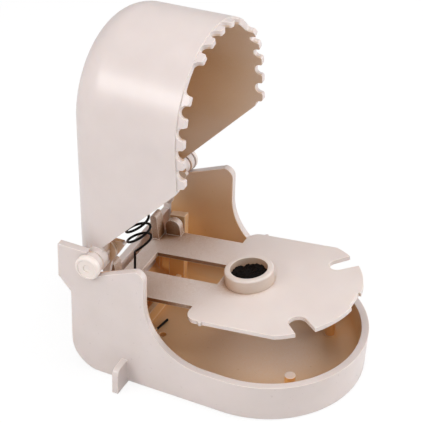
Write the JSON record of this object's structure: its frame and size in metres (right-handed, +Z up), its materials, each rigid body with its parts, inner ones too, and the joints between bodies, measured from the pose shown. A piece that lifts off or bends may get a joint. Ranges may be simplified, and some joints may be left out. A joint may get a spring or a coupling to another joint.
{
  "type": "snap mouse trap",
  "caption": "Set snap mouse trap: cream moulded tub, toothed jaw hinged at the rear, trigger pedal with a bait cup, black wire spring.",
  "frame": {"origin": "on the flat underside of the tub, midway along its length and across its width", "axes": "+Z up; -Y to the tub's round front where the mouse comes in; +Y to the hinge at the rear; +X across to the right, seen by someone who looks at the trap's mouth from the front"},
  "size_m": [0.0596, 0.0681, 0.0872],
  "materials": {
    "cream_plastic": "satin",
    "bait_paste": "rough dark paste",
    "black_wire": "satin black"
  },
  "bodies": {
    "tub": {"base": "cream_plastic", "spring": "black_wire"},
    "jaw": {"jaw": "cream_plastic", "hinge_pin_left": "cream_plastic", "hinge_pin_right": "cream_plastic"},
    "pedal": {"pedal": "cream_plastic", "bait_cup": "cream_plastic", "bait": "bait_paste"}
  },
  "joints": [
    {"name": "jaw_hinge", "type": "hinge", "parent": "tub", "child": "jaw", "pos_m": [0, 0.0272, 0.0315], "axis": [1, 0, 0], "range_deg": [0, 88], "deforming": ["spring"]},
    {"name": "pedal_hinge", "type": "hinge", "parent": "tub", "child": "pedal", "pos_m": [0, 0.0242, 0.0196], "axis": [1, 0, 0], "range_deg": [0, 18]}
  ],
  "couplings": [
    {"joint": "pedal_hinge", "follows": "jaw_hinge", "ratio": 0.2}
  ]
}
